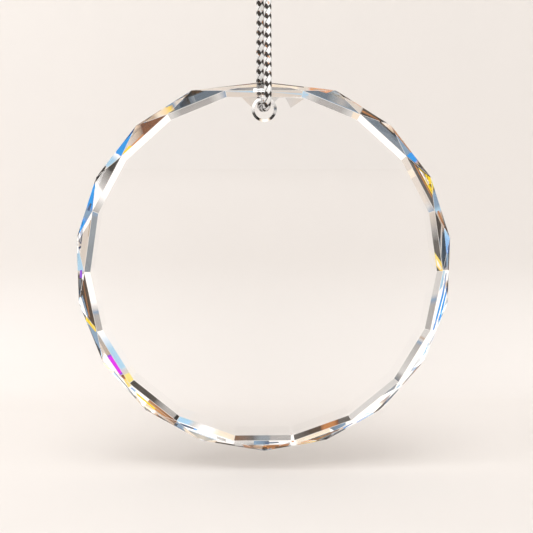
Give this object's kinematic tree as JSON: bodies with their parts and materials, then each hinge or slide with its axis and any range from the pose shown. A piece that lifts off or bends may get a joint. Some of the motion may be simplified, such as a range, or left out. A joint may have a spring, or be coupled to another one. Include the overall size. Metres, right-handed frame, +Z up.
{
  "type": "crystal christmas ornament",
  "caption": "Flat round cut-crystal ornament with a faceted rim and a drilled hole, hung on a knotted silver braided cord loop.",
  "frame": {"origin": "the inside top of the cord's hanging loop, where a hook or twig carries the ornament", "axes": "+Z up; the disc hangs in the XZ plane and its front face looks toward -Y"},
  "size_m": [0.079, 0.0098, 0.1356],
  "materials": {
    "clear_crystal": "polished, cut and clear",
    "silver_cord": "braided metallic silver yarn"
  },
  "bodies": {
    "root": {"crystal_disc": "clear_crystal", "cord_strands": "silver_cord", "cord_knot": "silver_cord", "cord_loop": "silver_cord", "cord_front_tail": "silver_cord", "cord_back_tail": "silver_cord"}
  },
  "joints": []
}
